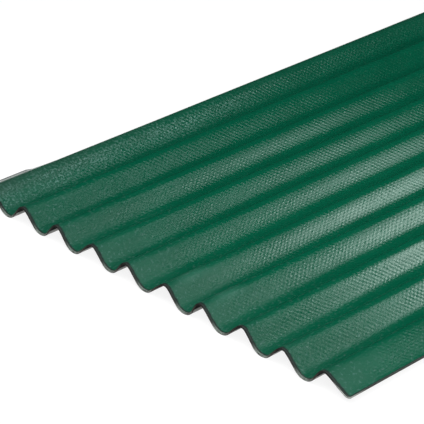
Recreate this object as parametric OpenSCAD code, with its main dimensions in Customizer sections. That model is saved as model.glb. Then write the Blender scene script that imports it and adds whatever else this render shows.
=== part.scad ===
// Corrugated bitumen roofing sheet: one sheet of bitumen-soaked fibre board, pressed into waves.
//
// Frame: X across the waves, Y along them, Z up. The sheet lies on its troughs, with the origin
// under its middle. Its two outer flanks are opened out, so the long edges stay off the ground.

/* [Sheet] */
// Length of the sheet, along the corrugations
sheet_length = 2000; // [200:10:3000]
// Thickness of the board, measured square to its surface
sheet_thickness = 3; // [2:0.1:5]

/* [Corrugations] */
// Number of crests across the sheet
crest_count = 10; // [2:1:14]
// Distance from one crest to the next
pitch = 94; // [85:1:120]
// Height of the sheet, from under its troughs to the top of its crests
wave_height = 36; // [30:1:44]
// Radius of the bends over the crests, to the middle of the board
crest_radius = 12.5; // [8:0.5:18]
// Radius of the bends in the troughs, to the middle of the board
trough_radius = 25; // [12:0.5:28]

/* [Long edges] */
// How far the board runs past the outermost half waves, out to each long edge
edge_overhang = 5; // [0:0.5:12]
// Height of the long edges above the underside of the troughs
edge_lift = 9; // [0:0.5:16]
// Slope at which the board runs out to its long edges, in degrees
edge_slope = 6; // [0:1:16]

/* [Hidden] */

// Corners that stand for half a bend, from a flank to the top of a crest or the bottom of a trough.
half_bend_corners = 6;

// The middle line of the board is a chain of arcs, joined by straight flanks that touch them.
waves_width = crest_count * pitch;
sheet_width = waves_width + 2 * edge_overhang;
half_thickness = sheet_thickness / 2;
crest_axis_z = wave_height - half_thickness - crest_radius;
trough_axis_z = half_thickness + trough_radius;
flank_slope = slope_between_bends(pitch / 2, wave_height - sheet_thickness);

// The outer flanks have less far to drop, and a bend of their own that ends at the edge's slope.
edge_point = [sheet_width / 2, half_thickness + edge_lift];
edge_axis = edge_point + trough_radius * [sin(edge_slope), cos(edge_slope)];
edge_flank_slope = slope_between_bends(
    edge_axis.x - (waves_width - pitch) / 2,
    wave_height - half_thickness - (edge_axis.y - trough_radius)
);

// Slope of the line that touches a crest bend and a trough bend, whose axes lie run apart and whose
// highest and lowest points lie drop apart.
function slope_between_bends(run, drop) =
    let (radii = crest_radius + trough_radius)
        asin(radii / norm([run, radii - drop])) - atan2(radii - drop, run);

// Corners of one skin through half a bend. Its flats touch the true arc, so its first and last ones
// carry on as the flanks and as the flat on a crest. A radius below zero bends upwards, as a trough.
function half_bend(axis, radius, from_slope, to_slope, offset) = [
    for (i = [0 : half_bend_corners - 1])
        let (step = (to_slope - from_slope) / half_bend_corners)
        let (slope = from_slope + (i + 0.5) * step)
            axis + (radius + offset) / cos(step / 2) * [-sin(slope), cos(slope)]
];

function crest(i, offset) =
    let (axis = [(i + 0.5) * pitch - waves_width / 2, crest_axis_z])
    let (left_slope = i == 0 ? edge_flank_slope : flank_slope)
    let (right_slope = i == crest_count - 1 ? edge_flank_slope : flank_slope)
        concat(
            half_bend(axis, crest_radius, left_slope, 0, offset),
            half_bend(axis, crest_radius, 0, -right_slope, offset)
        );

function trough(i, offset) =
    let (axis = [i * pitch - waves_width / 2, trough_axis_z])
        concat(
            half_bend(axis, -trough_radius, -flank_slope, 0, offset),
            half_bend(axis, -trough_radius, 0, flank_slope, offset)
        );

// The run-out to the right-hand edge, carried on past it so that the trim leaves a square cut.
function right_edge(offset) = concat(
    half_bend(edge_axis, -trough_radius, -edge_flank_slope, -edge_slope, offset),
    [edge_point + rotated([sheet_thickness, offset], -edge_slope)]
);

function left_edge(offset) = [for (point = reversed(right_edge(offset))) [-point.x, point.y]];

function rotated(point, angle) = [
    point.x * cos(angle) - point.y * sin(angle),
    point.x * sin(angle) + point.y * cos(angle)
];

function reversed(points) = [for (i = [len(points) - 1 : -1 : 0]) points[i]];

// One skin of the whole sheet, from its left edge to its right one, at an offset above the middle.
function skin(offset) = concat(
    left_edge(offset),
    [
        for (i = [0 : crest_count - 1])
            each concat(i > 0 ? trough(i, offset) : [], crest(i, offset))
    ],
    right_edge(offset)
);

module sheet_section() {
    intersection() {
        polygon(concat(skin(half_thickness), reversed(skin(-half_thickness))));
        translate([-sheet_width / 2, 0]) square([sheet_width, wave_height]);
    }
}

module corrugated_sheet() {
    color([0.03, 0.3, 0.2])
        rotate([90, 0, 0])
            linear_extrude(height = sheet_length, center = true)
                sheet_section();
}

corrugated_sheet();
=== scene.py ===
import math

import bpy
from mathutils import Matrix, Vector, noise


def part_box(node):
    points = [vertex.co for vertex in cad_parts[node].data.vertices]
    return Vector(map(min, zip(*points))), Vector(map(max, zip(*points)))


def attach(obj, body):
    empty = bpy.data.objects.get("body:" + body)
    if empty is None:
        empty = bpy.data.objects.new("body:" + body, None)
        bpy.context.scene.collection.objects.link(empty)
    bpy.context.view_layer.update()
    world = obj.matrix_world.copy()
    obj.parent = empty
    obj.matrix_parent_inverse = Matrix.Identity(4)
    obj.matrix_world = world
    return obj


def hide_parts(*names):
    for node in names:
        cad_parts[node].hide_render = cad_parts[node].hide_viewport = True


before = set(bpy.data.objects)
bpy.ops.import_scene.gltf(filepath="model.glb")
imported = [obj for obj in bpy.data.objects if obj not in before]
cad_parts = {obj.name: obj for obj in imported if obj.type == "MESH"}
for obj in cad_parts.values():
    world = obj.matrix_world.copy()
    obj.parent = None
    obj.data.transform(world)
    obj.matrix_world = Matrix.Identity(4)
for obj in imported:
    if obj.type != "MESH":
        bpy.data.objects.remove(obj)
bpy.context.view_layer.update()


# ---- Camera ----------------------------------------------------------------------------------
# It stands off the front right-hand corner and looks down along the waves, with a long lens,
# held almost level. The angles say where it stands, seen from the spot on the sheet it aims at.
aim = Vector((-0.107, -0.742, 0.018))
camera_distance = 3.699
camera_turn = math.radians(46.92)
camera_height = math.radians(28.23)
camera_roll = math.radians(0.38)

towards_camera = Vector((
    math.sin(camera_turn) * math.cos(camera_height),
    -math.cos(camera_turn) * math.cos(camera_height),
    math.sin(camera_height),
))
camera_data = bpy.data.cameras.new("camera")
camera_data.lens = 174.3
camera_data.clip_end = 100.0
camera = bpy.data.objects.new("camera", camera_data)
camera.rotation_mode = "QUATERNION"
camera.location = aim + camera_distance * towards_camera
camera.rotation_quaternion = (
    towards_camera.to_track_quat("Z", "Y") @ Matrix.Rotation(-camera_roll, 3, "Z").to_quaternion()
)
bpy.context.scene.collection.objects.link(camera)
bpy.context.scene.camera = camera


# ---- The board: its wave ---------------------------------------------------------------------
# The sheet is one board of paper fibre, pressed into ten waves on a wire mesh, dried and soaked
# in hot bitumen. Round bends follow each other, joined by flats that touch them. The outermost
# flats open out, so that the long edges stay clear of the ground.
lowest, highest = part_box("corrugated_sheet")
sheet_width = highest.x - lowest.x
sheet_length = highest.y - lowest.y
wave_height = highest.z - lowest.z
thickness = 0.003
crest_count = 10
pitch = 0.094
crest_radius = 0.0125
trough_radius = 0.025
edge_lift = 0.009
edge_slope = math.radians(6)

half_thickness = thickness / 2
crest_axis_z = wave_height - half_thickness - crest_radius
trough_axis_z = half_thickness + trough_radius
edge_axis_x = sheet_width / 2 + trough_radius * math.sin(edge_slope)
edge_axis_z = half_thickness + edge_lift + trough_radius * math.cos(edge_slope)

# The soft board creeps on its way through the kiln: how far some of the bends stand from their
# places at the front end, counted from the left, and how far some troughs stay off the ground. The
# first crest has sprung open: its left shoulder stands further out, over a broader top. The flat
# on its right sags, so that it is steeper at the crest and gentler at the trough.
crest_drift = {3: 0.0025, 4: -0.002, 5: 0.003, 6: -0.003, 7: 0.001, 9: -0.001}
trough_drift = {
    0: 0.001, 1: 0.0015, 2: -0.0013, 3: 0.0015, 4: -0.002, 5: 0.0031, 6: -0.001, 8: 0.002
}
trough_lift = {3: 0.002, 4: 0.001}
left_edge_drift = -0.006
first_crest_spread = 0.0085
first_crest_bend = 1
first_flat_sag = math.radians(5)


def wave_bends(drift):
    """Every bend from left to right, drifted by a share: its axis's x and z, its radius, below zero
    for a trough, and how much further out its left shoulder stands."""
    left_edge_x = -edge_axis_x + drift * left_edge_drift
    bends = [(left_edge_x, edge_axis_z, -trough_radius, 0.0)]
    for i in range(crest_count):
        crest_x = (i - (crest_count - 1) / 2) * pitch
        spread = 0.0 if i else drift * first_crest_spread
        bends.append((crest_x + drift * crest_drift.get(i, 0), crest_axis_z, crest_radius, spread))
        if i < crest_count - 1:
            trough_x = crest_x + pitch / 2 + drift * trough_drift.get(i, 0)
            trough_z = trough_axis_z + drift * trough_lift.get(i, 0)
            bends.append((trough_x, trough_z, -trough_radius, 0.0))
    bends.append((edge_axis_x, edge_axis_z, -trough_radius, 0.0))
    return bends


def flat_slope(bend, next_bend):
    """Slope of the flat that touches two bends which follow each other, one over and one under."""
    run = next_bend[0] - next_bend[3] - bend[0]
    axis_rise = abs(next_bend[1] - bend[1])
    axis_rise = math.copysign(axis_rise, (next_bend[1] - bend[1]) * (next_bend[2] - bend[2]))
    radii = crest_radius + trough_radius
    slope = math.asin(radii / math.hypot(run, axis_rise)) + math.atan2(axis_rise, run)
    return slope if next_bend[2] > 0 else -slope


# A bend stops short of its flats by its ease, and the flats are curved to carry it on.
bend_steps = 22
flat_steps = 13
crest_ease = math.radians(5)
trough_ease = math.radians(3)


def eased_flat(start, end):
    """Stations between two bends that stop a little short, on a curve that carries both on."""
    (start_x, start_z, start_slope), (end_x, end_z, end_slope) = start, end
    length = math.hypot(end_x - start_x, end_z - start_z)
    stations = []
    for part in range(1, flat_steps):
        t = part / flat_steps
        place = []
        heading = []
        for a, b, start_way, end_way in (
            (start_x, end_x, math.cos(start_slope), math.cos(end_slope)),
            (start_z, end_z, math.sin(start_slope), math.sin(end_slope)),
        ):
            leaving = length * start_way
            arriving = length * end_way
            cubic = 2 * (a - b) + leaving + arriving
            square = 3 * (b - a) - 2 * leaving - arriving
            place.append(((cubic * t + square) * t + leaving) * t + a)
            heading.append((3 * cubic * t + 2 * square) * t + leaving)
        stations.append((place[0], place[1], math.atan2(heading[1], heading[0])))
    return stations


def middle_line(drift):
    """Stations along the middle of the board: x, z and slope. Any drift gives as many of them."""
    bends = wave_bends(drift)
    flats = [flat_slope(a, b) for a, b in zip(bends, bends[1:])]
    stations = []
    for k, (axis_x, axis_z, radius, spread) in enumerate(bends):
        ease = crest_ease if radius > 0 else trough_ease
        slope_in = flats[k - 1] - math.copysign(ease, flats[k - 1]) if k else edge_slope
        slope_out = flats[k] - math.copysign(ease, flats[k]) if k < len(flats) else -edge_slope
        if k == first_crest_bend:
            slope_out -= drift * first_flat_sag
        if k == first_crest_bend + 1:
            slope_in += drift * first_flat_sag
        arc = radius * (slope_in - slope_out)
        for step in range(bend_steps + 1):
            t = step / bend_steps
            slope = slope_in + (slope_out - slope_in) * t
            x = axis_x - spread * (1 - t * t * (3 - 2 * t)) - radius * math.sin(slope)
            z = axis_z + radius * math.cos(slope)
            run = arc * math.cos(slope) + spread * 6 * t * (1 - t)
            station = (x, z, math.atan2(arc * math.sin(slope), run))
            if step == 0 and stations:
                stations += eased_flat(stations[-1], station)
            stations.append(station)
    return stations


straight_line = middle_line(0)
drifted_line = middle_line(1)
along = [0.0]
for (x0, z0, _), (x1, z1, _) in zip(straight_line, straight_line[1:]):
    along.append(along[-1] + math.hypot(x1 - x0, z1 - z0))
flat_width = along[-1]


# ---- The board: its skins and cut edges ------------------------------------------------------
# The dried board is sawn to length across the waves and trimmed along its long edges. The saw
# leaves the ends frayed, and there the plies have taken up bitumen and swollen a little.
end_rows = [0.0, 0.0007, 0.0016, 0.0028, 0.0044, 0.0064, 0.009, 0.013, 0.02, 0.035]
middle_rows = 20
plies = 6

# How far each ply stands back in a cut, counted from the top, and by how much the ends swell and
# fray. The trimmed long edges stand back by a share of that. The front right-hand corner has been
# knocked round.
ply_inset = [0.0006, 0.0001, 0.0002, 0.0, 0.0002, 0.0001, 0.0005]
swollen_length = 0.008
swelling = 0.0006
fray = 0.0004
long_edge_inset = 0.7
long_edge_fray = 0.0003
knocked_corner = 0.0075

# The creep is strongest at the front end, and the board wanders a little besides.
creep_lost = 0.7
wander_across = 0.0006
wander_up = 0.0005

# Outside the first crest's left shoulder the board droops and is drawn in, more and more towards
# the long edge. The corner by the front end has kept its shape, and the droop sets in behind it.
crest_shoulder = 0.010
first_shoulder_x = -(crest_count - 1) / 2 * pitch - crest_shoulder
droop_width = 0.04
droop_drop = 0.0045
droop_creep = 0.006
droop_start = 0.128
droop_length = 0.040

last_i = len(along) - 1
rows = [-sheet_length / 2 + distance for distance in end_rows]
rows_between = sheet_length - 2 * end_rows[-1]
for k in range(1, middle_rows):
    rows.append(-sheet_length / 2 + end_rows[-1] + rows_between * k / middle_rows)
rows += [sheet_length / 2 - distance for distance in reversed(end_rows)]
rows += [-sheet_length / 2 + droop_start, -sheet_length / 2 + droop_start + droop_length]
rows.sort()
last_j = len(rows) - 1


def waviness(x, y, seed, scale):
    """Smooth noise between about -1 and 1, over places in metres, its own for each seed."""
    return noise.noise(Vector((x / scale, y / scale, seed)))


def board_point(i, j, ply):
    """A corner of the mesh: station i across, row j along, ply 0 on the top skin."""
    y = rows[j]
    drift = 1 - creep_lost * (y + sheet_length / 2) / sheet_length
    x, z, slope = (a + drift * (b - a) for a, b in zip(straight_line[i], drifted_line[i]))
    drooping = max(0.0, (first_shoulder_x - x) / droop_width)
    drooping *= min(1.0, max(0.0, (y + sheet_length / 2 - droop_start) / droop_length))
    x += droop_creep * drooping
    z -= droop_drop * drooping
    x += wander_across * waviness(x, y, seed=3.5, scale=0.25)
    z += wander_up * (0.5 + 0.5 * waviness(x, y, seed=7.5, scale=0.3)) * z / wave_height

    from_end = sheet_length / 2 - abs(y)
    end_seed = 11.5 if y < 0 else 15.5
    swollen = max(0.0, 1 - from_end / swollen_length) ** 2
    swollen *= swelling * (0.8 + 0.5 * waviness(along[i], 0, end_seed, scale=0.012))
    offset = half_thickness + swollen - (thickness + swollen) * ply / plies

    from_right = straight_line[last_i][0] - straight_line[i][0]
    if y < 0 and from_right < knocked_corner:
        round_corner = math.sqrt(knocked_corner ** 2 - (knocked_corner - from_right) ** 2)
        y += (knocked_corner - round_corner) * max(0.0, 1 - from_end / (2 * knocked_corner))
    if from_end < swollen_length:
        ply_place = ply * 0.0007
        ragged = 0.6 * waviness(along[i], ply_place, end_seed + 1, scale=0.0045)
        ragged += 0.4 * waviness(along[i], ply_place, end_seed + 2, scale=0.03)
        inset = ply_inset[ply] + fray * (0.5 + ragged)
        y -= math.copysign(inset * (1 - from_end / swollen_length), y)
    if i in (0, last_i):
        ragged = long_edge_fray * (1 + waviness(0, y, seed=19.5, scale=0.02)) / 2
        x -= math.copysign(ply_inset[ply] * long_edge_inset + ragged, x)
    return (x - offset * math.sin(slope), y, max(z + offset * math.cos(slope), 0.0))


vertices = []
vertex_numbers = {}
faces = []
face_places = []
face_bake_places = []
face_slots = []

# The materials' slots, in the order in which the sections below fill them. Underneath, the
# troughs have a slot of their own where the middle of the board lies low, painted pale there as a
# painted reflection of the bright floor.
TOP_SKIN, UNDERSIDE, PALE_TROUGH, CUT_EDGE = range(4)
pale_trough_height = 0.019

# The bake map lays the top skin beside the underside, with the ends and long edges beyond them
# as strips. They are laid out wider than they are, because the board is thin.
map_gap = 0.01
strip_widening = 4
strip_width = strip_widening * thickness
map_side = 2 * flat_width + 4 * map_gap + 2 * (strip_width + map_gap)


def vertex_number(i, j, ply):
    """The number of a corner, which is made the first time that a face asks for it."""
    if (i, j, ply) not in vertex_numbers:
        vertex_numbers[i, j, ply] = len(vertices)
        vertices.append(board_point(i, j, ply))
    return vertex_numbers[i, j, ply]


def add_face(corners, places, bake_places, slot):
    """A face, with its corners' places on the board and on the bake map, and its material."""
    faces.append([vertex_number(*corner) for corner in corners])
    face_places.extend(places)
    face_bake_places.extend([(u / map_side, v / map_side) for u, v in bake_places])
    face_slots.append(slot)


for j in range(last_j):
    for i in range(last_i):
        ring = [(i, j), (i + 1, j), (i + 1, j + 1), (i, j + 1)]
        places = [(along[a] - flat_width / 2, rows[b]) for a, b in ring]
        baked = [(map_gap + along[a], map_gap + sheet_length / 2 + rows[b]) for a, b in ring]
        add_face([(a, b, 0) for a, b in ring], places, baked, TOP_SKIN)
        ring.reverse()
        places.reverse()
        baked = [(u + flat_width + map_gap, v) for u, v in reversed(baked)]
        x, z, _ = straight_line[i]
        pale_low = z < pale_trough_height and abs(x) < sheet_width / 2 - pitch / 2
        slot = PALE_TROUGH if pale_low else UNDERSIDE
        add_face([(a, b, plies) for a, b in ring], places, baked, slot)

for ply in range(plies):
    for end, j in enumerate((0, last_j)):
        for i in range(last_i):
            ring = [(i, j, ply), (i, j, ply + 1), (i + 1, j, ply + 1), (i + 1, j, ply)]
            if j == last_j:
                ring.reverse()
            places = [(along[a] - flat_width / 2, c * thickness / plies) for a, b, c in ring]
            strip_v = sheet_length + (2 + end) * map_gap + end * strip_width
            baked = [(map_gap + along[a], strip_v + c * strip_width / plies) for a, b, c in ring]
            add_face(ring, places, baked, CUT_EDGE)
    for side, i in enumerate((0, last_i)):
        for j in range(last_j):
            ring = [(i, j, ply), (i, j + 1, ply), (i, j + 1, ply + 1), (i, j, ply + 1)]
            if i == last_i:
                ring.reverse()
            places = [(rows[b], c * thickness / plies) for a, b, c in ring]
            strip_u = 2 * flat_width + (3 + side) * map_gap + side * strip_width
            baked = [
                (strip_u + c * strip_width / plies, map_gap + sheet_length / 2 + rows[b])
                for a, b, c in ring
            ]
            add_face(ring, places, baked, CUT_EDGE)

board_mesh = bpy.data.meshes.new("coated_board")
board_mesh.from_pydata(vertices, [], faces)
for map_name, map_places in (("board", face_places), ("OFBake", face_bake_places)):
    uv_map = board_mesh.uv_layers.new(name=map_name)
    uv_map.data.foreach_set("uv", [value for place in map_places for value in place])
board_mesh.polygons.foreach_set("material_index", face_slots)
board_mesh.shade_smooth()
board_mesh.set_sharp_from_angle(angle=math.radians(50))
board = bpy.data.objects.new("coated_board", board_mesh)
bpy.context.scene.collection.objects.link(board)
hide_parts("corrugated_sheet")
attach(board, "root")


# ---- The green coat --------------------------------------------------------------------------
# The weather side is coloured with a thin green resin coat, with a soft sheen. It follows the
# dimples that the wire mesh pressed into the board, deep in some patches and faint in others,
# and it is worn and stained with bitumen along the cuts.
def feed(tree, socket, value):
    """Links an input to another node's socket, or fills it in with a value."""
    if isinstance(value, bpy.types.NodeSocket):
        tree.links.new(value, socket)
    else:
        socket.default_value = value


def add_node(tree, kind, inputs=None, **settings):
    """Adds a shader node, with its settings made and its inputs linked or filled in."""
    shader_node = tree.nodes.new("ShaderNode" + kind)
    for name, value in settings.items():
        setattr(shader_node, name, value)
    for name, value in (inputs or {}).items():
        feed(tree, shader_node.inputs[name], value)
    return shader_node


def maths(tree, operation, *values):
    """One sum on values or sockets."""
    return add_node(tree, "Math", dict(enumerate(values)), operation=operation).outputs[0]


def product(tree, value, *others):
    """Values or sockets, multiplied together."""
    for other in others:
        value = maths(tree, "MULTIPLY", value, other)
    return value


def inside(tree, reach, place):
    """How far a place lies inside a line that runs on each side of the middle."""
    return maths(tree, "SUBTRACT", reach, maths(tree, "ABSOLUTE", place))


def stretched_noise(tree, places, spacing_across, spacing_along, detail=2.0):
    """Noise from 0 to 1 over the board, whose spots are as wide and as long as given in metres."""
    scale = (1 / spacing_across, 1 / spacing_along, 1.0)
    scaled = add_node(tree, "VectorMath", {0: places, 1: scale}, operation="MULTIPLY").outputs[0]
    cloud = add_node(tree, "TexNoise", {"Vector": scaled, "Scale": 1.0, "Detail": detail})
    return cloud.outputs["Fac"]


def ramp(tree, value, low, high, to_low=0.0, to_high=1.0):
    """Value from low to high, spread over to_low to to_high and held at both."""
    inputs = {
        "Value": value, "From Min": low, "From Max": high, "To Min": to_low, "To Max": to_high
    }
    return add_node(tree, "MapRange", inputs).outputs[0]


def mixed(tree, share, first, second):
    """Colour between two colours or sockets."""
    return add_node(tree, "Mix", {0: share, 6: first, 7: second}, data_type="RGBA").outputs[2]


def layered(tree, colour, layers):
    """Colour with others laid over it in turn. A layer is how much it covers and its colour."""
    for cover, layer_colour in layers:
        colour = mixed(tree, cover, colour, layer_colour)
    return colour


def new_material(name):
    """A material, with its node tree and its shader."""
    material = bpy.data.materials.new(name)
    material.use_nodes = True
    return material, material.node_tree, material.node_tree.nodes["Principled BSDF"]


def skin_places(tree):
    """Places on the board in metres: across and along a skin from its middle, or along and into
    a cut."""
    return add_node(tree, "UVMap", uv_map="board").outputs[0]


def sheet_places(tree):
    """Places in the sheet's own frame, in metres."""
    return add_node(tree, "TexCoord").outputs["Object"]


def add_relief(tree, shader, height):
    """Raises the surface by a height in metres."""
    bump = add_node(tree, "Bump", {"Height": height, "Distance": 1.0, "Strength": 1.0})
    tree.links.new(bump.outputs[0], shader.inputs["Normal"])


def new_group(name, inputs, outputs):
    """An empty node group. Inputs and outputs are names with their socket kinds and values."""
    tree = bpy.data.node_groups.new(name, "ShaderNodeTree")
    for socket_name, kind, value in inputs:
        socket = tree.interface.new_socket(
            socket_name, in_out="INPUT", socket_type="NodeSocket" + kind
        )
        if value is not None:
            socket.default_value = value
    for socket_name in outputs:
        tree.interface.new_socket(socket_name, in_out="OUTPUT", socket_type="NodeSocketFloat")
    return tree, tree.nodes.new("NodeGroupInput").outputs, tree.nodes.new("NodeGroupOutput").inputs


def use_group(tree, group, **inputs):
    """Places a node group in a material, with its inputs linked or filled in."""
    inputs = {name.replace("_", " "): value for name, value in inputs.items()}
    return add_node(tree, "Group", inputs, node_tree=group).outputs


# Mesh imprint: the warp wires of a plain weave lie half a cell apart, and the knuckles over which
# they bend lie a cell apart, staggered from wire to wire. A skewed weave marks one diagonal more.
# The wires wander by a share of a cell, and lumps of fibre leave some knuckles shallow.
imprint, given, made = new_group(
    "mesh_imprint",
    [
        ("Places", "Vector", None),
        ("Cell width", "Float", 0.0093),
        ("Cell length", "Float", 0.0095),
        ("Wander", "Float", 0.15),
        ("Lumps", "Float", 0.6),
        ("Warp", "Float", 0.3),
    ],
    ["Height"],
)
split = add_node(imprint, "SeparateXYZ", {0: given["Places"]}).outputs
phases = []
for axis, cell_name, spacing in ((0, "Cell width", 0.03), (1, "Cell length", 0.04)):
    wander = stretched_noise(imprint, given["Places"], spacing, 0.045, 1.0)
    wander = product(imprint, maths(imprint, "SUBTRACT", wander, 0.5), given["Wander"], 4.0)
    cells = maths(imprint, "DIVIDE", split[axis], given[cell_name])
    phases.append(product(imprint, maths(imprint, "ADD", cells, wander), math.tau))
falling = maths(imprint, "COSINE", maths(imprint, "SUBTRACT", phases[0], phases[1]))
rising = maths(imprint, "COSINE", maths(imprint, "ADD", phases[0], phases[1]))
lattice = maths(imprint, "ADD", product(imprint, falling, 0.60), product(imprint, rising, 0.40))
warp_wires = maths(imprint, "COSINE", product(imprint, phases[0], 2.0))
lattice = maths(imprint, "ADD", lattice, product(imprint, warp_wires, given["Warp"]))
lumps = ramp(imprint, stretched_noise(imprint, given["Places"], 0.006, 0.009), 0.3, 0.7, -1.0, 1.0)
lumps = product(imprint, lumps, given["Lumps"])
lattice = product(imprint, lattice, maths(imprint, "ADD", lumps, 1.0))
imprint.links.new(maths(imprint, "ADD", lattice, product(imprint, lumps, 0.5)), made["Height"])

# Rim wear: 1 along the cuts, fading out over a ragged width, which is half as much at the long
# edges.
rim_wear, given, made = new_group(
    "rim_wear",
    [("Places", "Vector", None), ("Width", "Float", 0.004), ("Raggedness", "Float", 0.5)],
    ["Mask"],
)
split = add_node(rim_wear, "SeparateXYZ", {0: given["Places"]}).outputs
from_end = inside(rim_wear, sheet_length / 2, split[1])
from_side = product(rim_wear, inside(rim_wear, flat_width / 2, split[0]), 2.0)
from_cut = maths(rim_wear, "MINIMUM", from_end, from_side)
ragged = stretched_noise(rim_wear, given["Places"], 0.006, 0.006, 4.0)
ragged = product(rim_wear, maths(rim_wear, "SUBTRACT", ragged, 0.5), given["Raggedness"])
reach = maths(rim_wear, "ADD", maths(rim_wear, "DIVIDE", from_cut, given["Width"]), ragged)
rim_wear.links.new(ramp(rim_wear, reach, 0.7, 1.15, 1.0, 0.0), made["Mask"])

# Fibre grain: short hairs lying every way in the board, as a height from 0 to 1.
fibre_grain, given, made = new_group(
    "fibre_grain",
    [("Places", "Vector", None), ("Fibre length", "Float", 0.003)],
    ["Height"],
)
per_metre = maths(fibre_grain, "DIVIDE", 1.0, given["Fibre length"])
scaled = add_node(
    fibre_grain, "VectorMath", {0: given["Places"], "Scale": per_metre}, operation="SCALE"
)
crossed = add_node(
    fibre_grain, "TexNoise",
    {"Vector": scaled.outputs[0], "Scale": 1.0, "Detail": 4.0, "Roughness": 0.7, "Distortion": 1.2},
)
fibre_grain.links.new(crossed.outputs["Fac"], made["Height"])

coat, tree, shader = new_material("green_coat")
places = skin_places(tree)
split = add_node(tree, "SeparateXYZ", {0: places}).outputs
place_across, place_along = split[0], split[1]
height = add_node(tree, "SeparateXYZ", {0: sheet_places(tree)}).outputs[2]
from_end = inside(tree, sheet_length / 2, place_along)
clouds = stretched_noise(tree, places, 0.05, 0.15, 3.0)
from_end_ragged = maths(tree, "ADD", from_end, product(tree, clouds, 0.3))

# The imprint is deep in patches, shallow by the ends and deepest on the first wave. The fibres
# stand up by the ends, where the coat is thin.
dimple_depth = 0.000135
grain_depth = 0.00010
dimples = use_group(
    tree, imprint, Places=places, Cell_width=0.0092, Cell_length=0.0100, Wander=0.17, Lumps=0.8
)["Height"]
grain = use_group(tree, fibre_grain, Places=places, Fibre_length=0.0035)["Height"]
patches = product(
    tree,
    ramp(tree, stretched_noise(tree, places, 0.03, 0.12, 3.0), 0.34, 0.62, 0.4, 1.0),
    ramp(tree, from_end_ragged, 0.14, 0.40, 0.45, 1.0),
    ramp(tree, place_across, -0.52, -0.46, 1.7, 1.0),
)
coarse_end = ramp(tree, from_end, 0.02, 0.30, 3.5, 1.0)
pressed = product(tree, dimples, patches, dimple_depth)
add_relief(tree, shader, maths(tree, "ADD", pressed, product(tree, grain, coarse_end, grain_depth)))

# The coat is mottled. Towards the far end and the left it is painted darker, a painted shade
# where less light reaches it. Dust lies by the ends.
mottle = ramp(tree, stretched_noise(tree, places, 0.05, 0.12, 4.0), 0.3, 0.7)
painted_falloff_shade = maths(
    tree, "ADD",
    ramp(tree, place_along, -0.9, 0.2, 0.0, 0.18),
    ramp(tree, place_across, -0.55, 0.10, 0.15, 0.0),
)
by_end = ramp(tree, from_end, 0.008, 0.09, 1.0, 0.0)
dust = product(tree, by_end, by_end, ramp(tree, mottle, 0.0, 1.0, 0.02, 0.08))

# A pale smear with a ragged edge lies over the crests by the front end. Its spread is how often
# its half width and half length go into a metre.
smear_middle = (0.125, -0.942, 0.0)
smear_spread = (7.0, 26.0, 0.0)
smear = add_node(tree, "VectorMath", {0: places, 1: smear_middle}, operation="SUBTRACT").outputs[0]
smear = add_node(tree, "VectorMath", {0: smear, 1: smear_spread}, operation="MULTIPLY").outputs[0]
smear = add_node(tree, "VectorMath", {0: smear}, operation="LENGTH").outputs["Value"]
smear_edge = maths(tree, "SUBTRACT", stretched_noise(tree, places, 0.02, 0.03, 3.0), 0.5)
smear = maths(tree, "ADD", smear, product(tree, smear_edge, 1.2))
smear = product(tree, ramp(tree, smear, 0.3, 1.2, 0.20, 0.0), ramp(tree, height, 0.025, 0.033))

# Pale specks, partly grit and partly painted glints where the dimples catch the light, are
# thick by the ends. Finer, brighter ones lie in patches on the first crest and the flat on its
# right, a painted sheen, and thin out away from the ends.
specks_and_glints = product(
    tree,
    ramp(tree, stretched_noise(tree, places, 0.0050, 0.0062, 3.0), 0.56, 0.68),
    ramp(tree, from_end_ragged, 0.10, 0.45, 0.75, 0.08),
)
painted_sheen_specks = product(
    tree,
    ramp(tree, place_across, -0.512, -0.486, 0.62, 0.0),
    ramp(tree, from_end, 0.45, 0.75, 1.0, 0.2),
    ramp(tree, place_across, -0.538, -0.522, 0.1, 1.0),
    ramp(tree, stretched_noise(tree, places, 0.025, 0.09, 3.0), 0.36, 0.6, 0.35, 1.1),
    ramp(tree, stretched_noise(tree, places, 0.0036, 0.0048), 0.50, 0.62),
)

# The first crest has a grey veil, strongest by the ends: a painted sheen. Outside it the outer
# flat is painted pale in the front corner: a painted grazing reflection of the bright
# surroundings.
veil_edge = product(tree, stretched_noise(tree, places, 0.03, 0.06, 3.0), 0.02)
veil_edge = maths(tree, "ADD", place_across, veil_edge)
painted_sheen_veil = product(
    tree,
    ramp(tree, veil_edge, -0.525, -0.500, 1.0, 0.0),
    ramp(tree, from_end, 0.0, 0.5, 0.27, 0.04),
)
blotches = stretched_noise(tree, places, 0.008, 0.02, 4.0)
grazing_reflection_end = maths(tree, "SUBTRACT", from_end, product(tree, blotches, 0.06))
painted_grazing_reflection = product(
    tree,
    ramp(tree, place_across, -0.580, -0.558, 0.8, 0.0),
    ramp(tree, grazing_reflection_end, 0.09, 0.12, 1.0, 0.0),
    ramp(tree, place_along, -0.5, -0.4, 1.0, 0.0),
    ramp(tree, blotches, 0.35, 0.6, 0.35, 1.0),
)

# Bitumen stains the coat along the cuts. Right by them it is torn off, most of all low down.
stained = use_group(tree, rim_wear, Places=places, Width=0.0070, Raggedness=0.7)["Mask"]
torn = use_group(tree, rim_wear, Places=places, Width=0.0036, Raggedness=0.5)["Mask"]
torn = product(tree, torn, ramp(tree, height, 0.004, 0.015, 1.0, 0.10))

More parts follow.
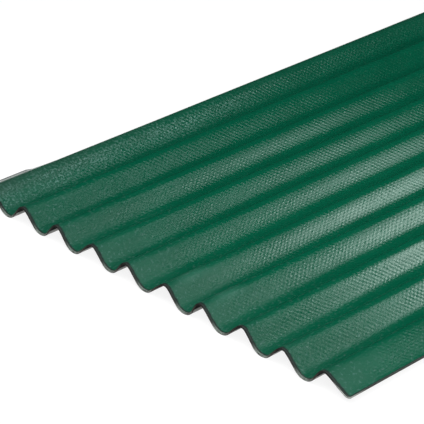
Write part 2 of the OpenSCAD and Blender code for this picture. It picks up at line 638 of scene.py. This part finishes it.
coat_colour = mixed(tree, mottle, (0.0008, 0.081, 0.0405, 1.0), (0.0012, 0.0935, 0.0475, 1.0))
coat_colour = layered(tree, coat_colour, [
    # painted shade where less light reaches
    (painted_falloff_shade, (0.0005, 0.042, 0.025, 1.0)),
    (dust, (0.11, 0.13, 0.14, 1.0)),
    (smear, (0.105, 0.27, 0.21, 1.0)),
    # painted glints, partly grit, and painted sheen specks
    (specks_and_glints, (0.07, 0.165, 0.14, 1.0)),
    (painted_sheen_specks, (0.13, 0.28, 0.24, 1.0)),
    # painted sheen and painted grazing reflection
    (painted_sheen_veil, (0.080, 0.072, 0.080, 1.0)),
    (painted_grazing_reflection, (0.40, 0.45, 0.42, 1.0)),
    (stained, (0.004, 0.006, 0.005, 1.0)),
    (torn, (0.17, 0.21, 0.185, 1.0)),
])
tree.links.new(coat_colour, shader.inputs["Base Color"])

roughness = ramp(tree, stretched_noise(tree, places, 0.02, 0.06, 3.0), 0.3, 0.7, 0.18, 0.24)
roughness = maths(tree, "ADD", roughness, product(tree, stained, 0.40))
dulled = ramp(tree, from_end_ragged, 0.08, 0.40, 0.16, 0.0)
tree.links.new(maths(tree, "ADD", roughness, dulled), shader.inputs["Roughness"])
shader.inputs["Specular Tint"].default_value = (0.77, 1.0, 1.0, 1.0)
board_mesh.materials.append(coat)


# ---- The bitumen underside -------------------------------------------------------------------
# The ground side has no coat: it is bare fibre, black with bitumen, with brown hairs showing and
# the finer weave of the drying screen pressed into it. Low down in the troughs it is glossier and
# painted pale grey, a painted reflection of the bright floor that it shows at a grazing angle.
hair_length = 0.0022

underside, tree, shader = new_material("bitumen_underside")
places = skin_places(tree)
screen = use_group(
    tree, imprint, Places=places, Cell_width=0.0046, Cell_length=0.0047, Wander=0.1
)["Height"]
grain = use_group(tree, fibre_grain, Places=places, Fibre_length=hair_length)["Height"]
screen_depth = 0.00008
hair_depth = 0.00025
relief = product(tree, screen, screen_depth)
add_relief(tree, shader, maths(tree, "ADD", relief, product(tree, grain, hair_depth)))
clouds = ramp(tree, stretched_noise(tree, places, 0.08, 0.2, 4.0), 0.3, 0.7)
hairs = ramp(tree, grain, 0.55, 0.75)
bitumen = mixed(tree, clouds, (0.006, 0.007, 0.006, 1.0), (0.013, 0.013, 0.011, 1.0))
bitumen = mixed(tree, hairs, bitumen, (0.034, 0.028, 0.021, 1.0))
tree.links.new(bitumen, shader.inputs["Base Color"])
tree.links.new(ramp(tree, grain, 0.3, 0.7, 0.9, 1.0), shader.inputs["Roughness"])
shader.inputs["Specular IOR Level"].default_value = 0.07
board_mesh.materials.append(underside)

pale_trough, tree, shader = new_material("pale_trough")
places = skin_places(tree)
height = add_node(tree, "SeparateXYZ", {0: sheet_places(tree)}).outputs[2]
grain = use_group(tree, fibre_grain, Places=places, Fibre_length=hair_length)["Height"]
trough_hair_depth = 0.00010
add_relief(tree, shader, product(tree, grain, trough_hair_depth))
# A painted reflection of the bright floor, pale low down in the troughs.
painted_floor_reflection = product(
    tree,
    ramp(tree, height, 0.014, pale_trough_height, 1.0, 0.0),
    ramp(tree, stretched_noise(tree, places, 0.02, 0.05, 4.0), 0.3, 0.5, 0.5, 1.0),
    0.7,
)
bitumen = mixed(tree, painted_floor_reflection, (0.014, 0.012, 0.010, 1.0), (0.40, 0.42, 0.38, 1.0))
tree.links.new(bitumen, shader.inputs["Base Color"])
tree.links.new(ramp(tree, grain, 0.3, 0.7, 0.40, 0.55), shader.inputs["Roughness"])
board_mesh.materials.append(pale_trough)


# ---- The cut edges ---------------------------------------------------------------------------
# The saw opens the board: a grey, fibrous core between two skins that are black with bitumen. The
# core is scuffed pale low down, where the sheet stands and slides on its troughs, and blackest up
# on the crests and along the trimmed long edges. The knocked corner shows fresh, pale fibre.
cut_edge, tree, shader = new_material("cut_board")
places = skin_places(tree)
board_places = sheet_places(tree)
split = add_node(tree, "SeparateXYZ", {0: board_places}).outputs
height = split[2]
from_side = inside(tree, sheet_width / 2, split[0])
front_corner = (sheet_width / 2, -sheet_length / 2, edge_lift)
from_corner = add_node(
    tree, "VectorMath", {0: board_places, 1: front_corner}, operation="DISTANCE"
).outputs["Value"]

ply_noise = stretched_noise(tree, places, 0.006, 0.0008, 4.0)
wavering = product(tree, maths(tree, "SUBTRACT", ply_noise, 0.5), 0.0010)
depth = maths(tree, "ADD", add_node(tree, "SeparateXYZ", {0: places}).outputs[1], wavering)
upper = ramp(tree, depth, 0.0001, 0.0004)
lower = ramp(tree, depth, thickness - 0.0008, thickness - 0.0005, 1.0, 0.0)
core = product(tree, upper, lower)
blotches = ramp(tree, stretched_noise(tree, places, 0.012, 0.01), 0.25, 0.6)
scuffed = product(tree, ramp(tree, height, 0.002, 0.016, 1.0, 0.0), blotches)
soaked = ramp(tree, height, 0.020, 0.030, 0.0, 0.9)
trimmed = ramp(tree, from_side, 0.0010, 0.0020, 0.75, 0.0)
knocked = ramp(tree, from_corner, 0.015, 0.040, 1.0, 0.0)
dark_plies = ramp(tree, ply_noise, 0.5, 0.75, 0.0, 0.6)
core_colour = layered(tree, (0.065, 0.060, 0.052, 1.0), [
    (scuffed, (0.46, 0.52, 0.47, 1.0)),
    (soaked, (0.011, 0.012, 0.011, 1.0)),
    (trimmed, (0.016, 0.014, 0.013, 1.0)),
    (knocked, (0.62, 0.66, 0.61, 1.0)),
    (dark_plies, (0.05, 0.045, 0.04, 1.0)),
])
edge_colour = mixed(tree, core, (0.006, 0.006, 0.005, 1.0), core_colour)
tree.links.new(edge_colour, shader.inputs["Base Color"])
shader.inputs["Roughness"].default_value = 0.9
shader.inputs["Specular IOR Level"].default_value = 0.25
ply_relief = 0.0006
add_relief(tree, shader, product(tree, ply_noise, ply_relief))
board_mesh.materials.append(cut_edge)


# ---- Floor -----------------------------------------------------------------------------------
# A plain pale floor. What the camera and reflections see of it is brightened to white.
floor_half = 30.0
seen_brightness = 0.86
floor_mesh = bpy.data.meshes.new("floor")
corners = ((-1, -1), (1, -1), (1, 1), (-1, 1))
floor_corners = [(x * floor_half, y * floor_half, 0) for x, y in corners]
floor_mesh.from_pydata(floor_corners, [], [(0, 1, 2, 3)])
floor = bpy.data.objects.new("floor", floor_mesh)
bpy.context.scene.collection.objects.link(floor)
floor_paint, tree, shader = new_material("pale_floor")
shader.inputs["Base Color"].default_value = (0.18, 0.18, 0.18, 1.0)
shader.inputs["Roughness"].default_value = 1.0
shader.inputs["Specular IOR Level"].default_value = 0.0
shader.inputs["Emission Color"].default_value = (1.0, 1.0, 1.0, 1.0)
light_path = add_node(tree, "LightPath").outputs
seen = maths(tree, "MAXIMUM", light_path["Is Camera Ray"], light_path["Is Glossy Ray"])
seen = maths(tree, "MAXIMUM", seen, light_path["Is Transmission Ray"])
tree.links.new(product(tree, seen, seen_brightness), shader.inputs["Emission Strength"])
floor_mesh.materials.append(floor_paint)


# ---- Studio light ----------------------------------------------------------------------------
# Two large soft boxes, one in front and one high on the left, light the sheet. Further back are a
# small one with a brighter core, low on the right, and a long strip overhead. The flanks that
# face the camera mirror those as a sheen.
def soft_box(name, place, aimed_at, width, height, power, colour=(1.0, 1.0, 1.0)):
    """A rectangular lamp that the camera doesn't see. Its power is in watts."""
    lamp_data = bpy.data.lights.new(name, "AREA")
    lamp_data.shape = "RECTANGLE"
    lamp_data.size = width
    lamp_data.size_y = height
    lamp_data.energy = power
    lamp_data.color = colour
    lamp = bpy.data.objects.new(name, lamp_data)
    lamp.location = place
    lamp.rotation_mode = "QUATERNION"
    lamp.rotation_quaternion = (Vector(place) - Vector(aimed_at)).to_track_quat("Z", "Y")
    lamp.visible_camera = False
    bpy.context.scene.collection.objects.link(lamp)


middle_of_view = (0.0, -0.5, 0.0)
soft_white = (1.0, 0.99, 0.96)
warm_white = (1.0, 0.97, 0.88)
soft_box("front_box", (3.78, -3.14, 3.42), middle_of_view, 3.8, 3.8, 228.0)
soft_box("top_box", (-1.10, -2.58, 4.8), middle_of_view, 3.8, 3.8, 170.0)
soft_box("sheen_box", (0.76, 0.235, 0.545), middle_of_view, 0.78, 0.43, 3.2, soft_white)
soft_box("sheen_core", (0.78, 0.24, 0.545), middle_of_view, 0.32, 0.21, 1.5, warm_white)
soft_box("strip_box", (0.30, -0.14, 2.67), middle_of_view, 0.24, 5.0, 15.5)

world = bpy.data.worlds.new("studio")
bpy.context.scene.world = world
world.use_nodes = True
background = world.node_tree.nodes["Background"]
background.inputs["Color"].default_value = (1.0, 1.0, 1.0, 1.0)
background.inputs["Strength"].default_value = 0.008
bpy.context.scene.view_settings.view_transform = "Standard"
